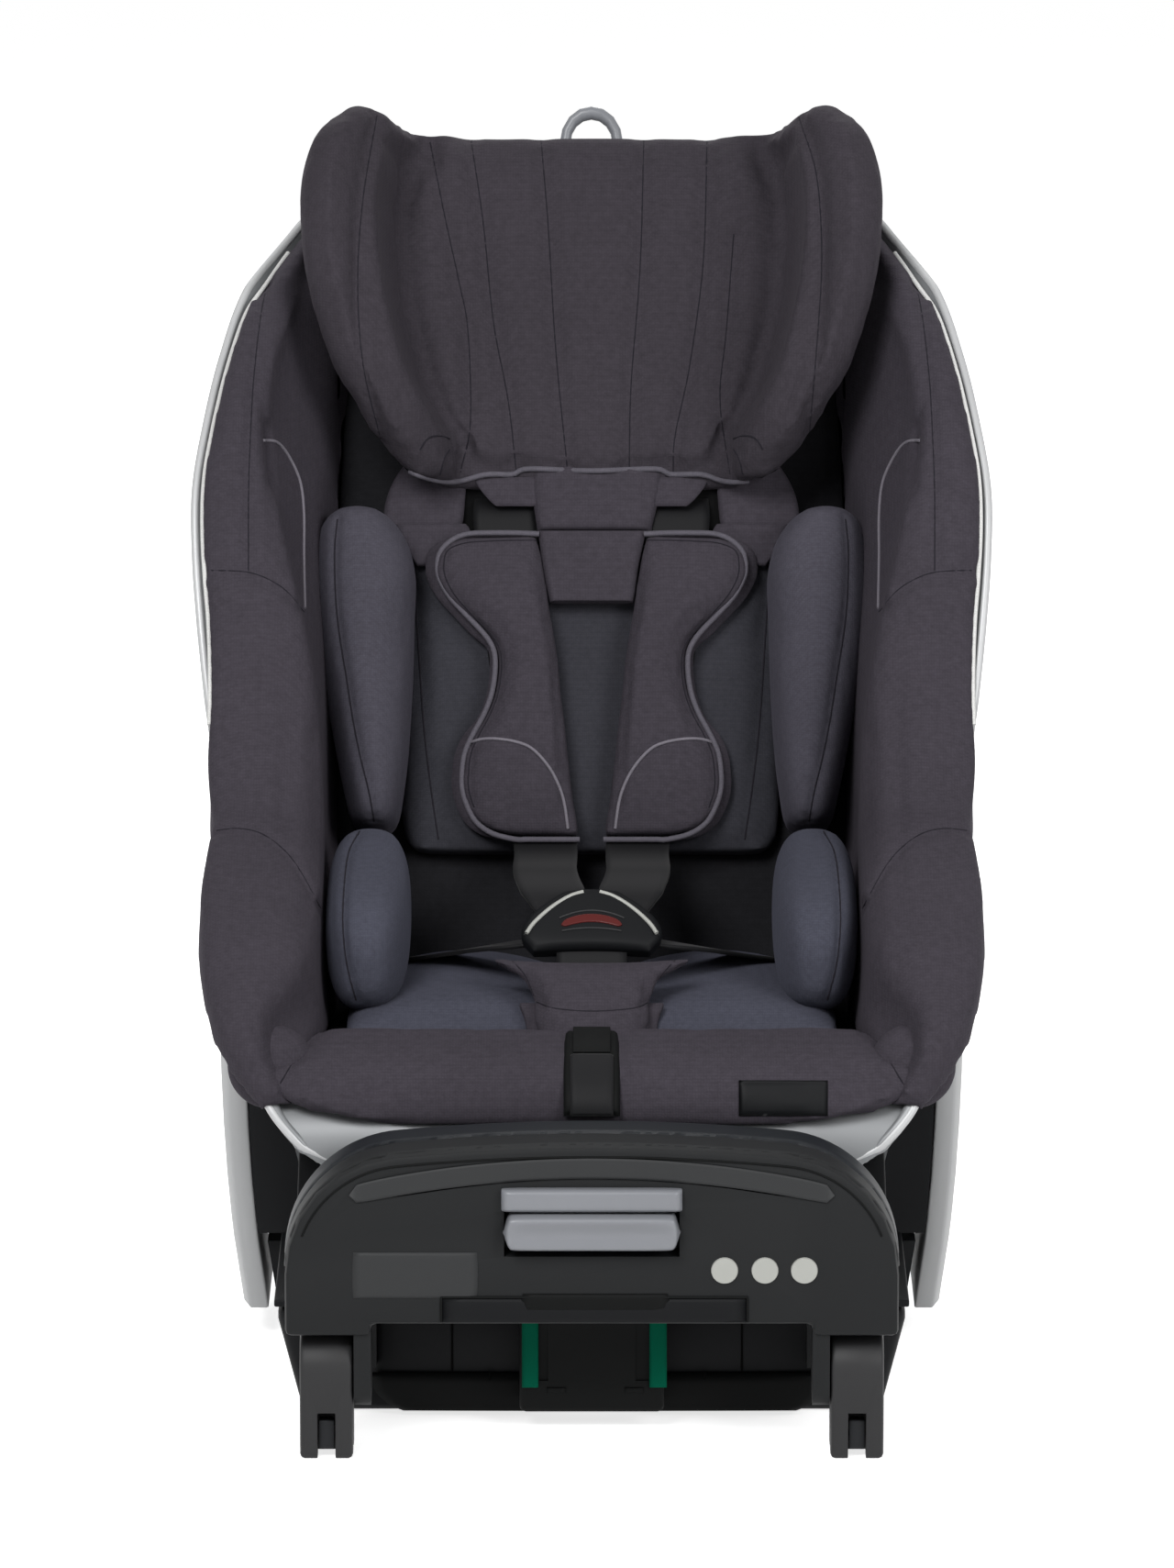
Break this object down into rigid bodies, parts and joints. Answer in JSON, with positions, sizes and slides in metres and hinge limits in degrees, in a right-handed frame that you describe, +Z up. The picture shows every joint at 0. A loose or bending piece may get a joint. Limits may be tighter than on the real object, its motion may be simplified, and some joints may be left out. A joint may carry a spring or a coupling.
{
  "type": "child car seat",
  "caption": "Rear-facing padded child seat with raised headrest and harness, reclining on a cradle base with front bar, anchor connectors and folding support leg.",
  "frame": {"origin": "on the floor, below the middle of the whole seat at rest", "axes": "+Z up, the child faces -Y, mirror symmetric about the plane X = 0"},
  "size_m": [0.4384, 0.6186, 0.651],
  "materials": {
    "cover_fabric": "woven charcoal polyester",
    "insert_fabric": "blue-grey jersey with dark piping",
    "webbing": "black woven belt",
    "silver_plastic": "satin silver moulding",
    "black_plastic": "fine textured moulding",
    "grey_plastic": "fine textured moulding",
    "handle_plastic": "satin grey moulding",
    "green_plastic": "moulded green",
    "red_plastic": "moulded red",
    "steel": "zinc plated"
  },
  "bodies": {
    "base": {"base_tray": "black_plastic", "base_top": "black_plastic", "front_bar": "black_plastic", "bar_grip_strip": "grey_plastic", "handle_bezel": "handle_plastic", "side_arm_left": "silver_plastic", "side_arm_right": "silver_plastic", "leg_hinge_pin": "steel", "anchor_rail_left": "steel", "anchor_rail_right": "steel"},
    "recline_handle": {"recline_handle": "handle_plastic"},
    "recline_pawl": {"recline_pawl": "steel"},
    "leg_outer": {"leg_outer_tube": "steel"},
    "leg_button": {"leg_button": "green_plastic"},
    "leg_inner": {"leg_inner_tube": "steel", "leg_foot": "black_plastic", "indicator_strip_left": "green_plastic", "indicator_strip_right": "green_plastic"},
    "connector_left": {"connector_housing_left": "grey_plastic"},
    "connector_right": {"connector_housing_right": "grey_plastic"},
    "hook_left": {"connector_hook_left": "steel"},
    "hook_right": {"connector_hook_right": "steel"},
    "release_left": {"release_button_left": "black_plastic"},
    "release_right": {"release_button_right": "black_plastic"},
    "seat": {"seat_shell": "silver_plastic", "shell_back_panel": "black_plastic", "recline_rack": "black_plastic", "cover_front_roll": "cover_fabric", "cover_seat_pad": "cover_fabric", "cover_back_pad": "cover_fabric", "cover_side_left": "cover_fabric", "cover_side_right": "cover_fabric", "insert_back": "insert_fabric", "insert_seat": "insert_fabric", "insert_wing_left": "insert_fabric", "insert_wing_right": "insert_fabric", "insert_hip_left": "insert_fabric", "insert_hip_right": "insert_fabric", "crotch_pad": "cover_fabric", "crotch_strap": "webbing", "crotch_anchor": "steel", "buckle_body": "black_plastic", "buckle_tongue_left": "steel", "buckle_tongue_right": "steel", "hip_belt_left": "webbing", "hip_belt_right": "webbing", "shoulder_belt_left": "webbing", "shoulder_belt_right": "webbing", "adjuster_bezel": "black_plastic", "adjuster_strap": "webbing"},
    "buckle_button": {"buckle_button": "red_plastic"},
    "adjuster_lever": {"adjuster_lever": "grey_plastic"},
    "headrest": {"headrest_carrier": "black_plastic", "headrest_shell": "black_plastic", "headrest_pad": "cover_fabric", "shoulder_pad_left": "insert_fabric", "shoulder_pad_right": "insert_fabric"},
    "headrest_handle": {"headrest_handle": "handle_plastic"}
  },
  "joints": [
    {"name": "recline", "type": "hinge", "parent": "base", "child": "seat", "pos_m": [0, 0, 0.232], "axis": [-1, 0, 0], "range_deg": [0, 15]},
    {"name": "headrest_height", "type": "slide", "parent": "seat", "child": "headrest", "axis": [0, 0.4067, 0.9136], "range_m": [0, 0.12], "deforming": ["shoulder_belt_left", "shoulder_belt_right"]},
    {"name": "headrest_release", "type": "slide", "parent": "headrest", "child": "headrest_handle", "axis": [0, 0.4067, 0.9136], "range_m": [0, 0.008], "stiffness_N_per_m": 300},
    {"name": "recline_release", "type": "slide", "parent": "base", "child": "recline_handle", "axis": [0, -1, 0], "range_m": [0, 0.012], "stiffness_N_per_m": 400},
    {"name": "pawl_draw", "type": "slide", "parent": "base", "child": "recline_pawl", "axis": [0, 0, -1], "range_m": [0, 0.005]},
    {"name": "leg_fold", "type": "hinge", "parent": "base", "child": "leg_outer", "pos_m": [0, 0.205, 0.026], "axis": [1, 0, 0], "range_deg": [0, 95]},
    {"name": "leg_extension", "type": "slide", "parent": "leg_outer", "child": "leg_inner", "axis": [0, -1, 0], "range_m": [0, 0.15]},
    {"name": "leg_button_press", "type": "slide", "parent": "leg_outer", "child": "leg_button", "axis": [0, 0, 1], "range_m": [0, 0.002], "stiffness_N_per_m": 300},
    {"name": "connector_fold_left", "type": "hinge", "parent": "base", "child": "connector_left", "pos_m": [-0.14, -0.2775, 0.047], "axis": [-1, 0, 0], "range_deg": [0, 90]},
    {"name": "hook_open_left", "type": "hinge", "parent": "connector_left", "child": "hook_left", "pos_m": [-0.14, -0.2855, 0.018], "axis": [-1, 0, 0], "range_deg": [0, 45], "stiffness_Nm_per_rad": 0.05},
    {"name": "hook_release_left", "type": "slide", "parent": "connector_left", "child": "release_left", "axis": [0, -1, 0], "range_m": [0, 0.002], "stiffness_N_per_m": 300},
    {"name": "connector_fold_right", "type": "hinge", "parent": "base", "child": "connector_right", "pos_m": [0.14, -0.2775, 0.047], "axis": [-1, 0, 0], "range_deg": [0, 90]},
    {"name": "hook_open_right", "type": "hinge", "parent": "connector_right", "child": "hook_right", "pos_m": [0.14, -0.2855, 0.018], "axis": [-1, 0, 0], "range_deg": [0, 45], "stiffness_Nm_per_rad": 0.05},
    {"name": "hook_release_right", "type": "slide", "parent": "connector_right", "child": "release_right", "axis": [0, -1, 0], "range_m": [0, 0.002], "stiffness_N_per_m": 300},
    {"name": "buckle_press", "type": "slide", "parent": "seat", "child": "buckle_button", "axis": [0, 0.6691, -0.7431], "range_m": [0, 0.003], "stiffness_N_per_m": 300},
    {"name": "adjuster_lift", "type": "hinge", "parent": "seat", "child": "adjuster_lever", "pos_m": [0, -0.16887, 0.20431], "axis": [-1, 0, 0], "range_deg": [0, 30], "stiffness_Nm_per_rad": 0.05}
  ],
  "couplings": [
    {"joint": "pawl_draw", "follows": "recline_release", "ratio": 0.4166}
  ]
}
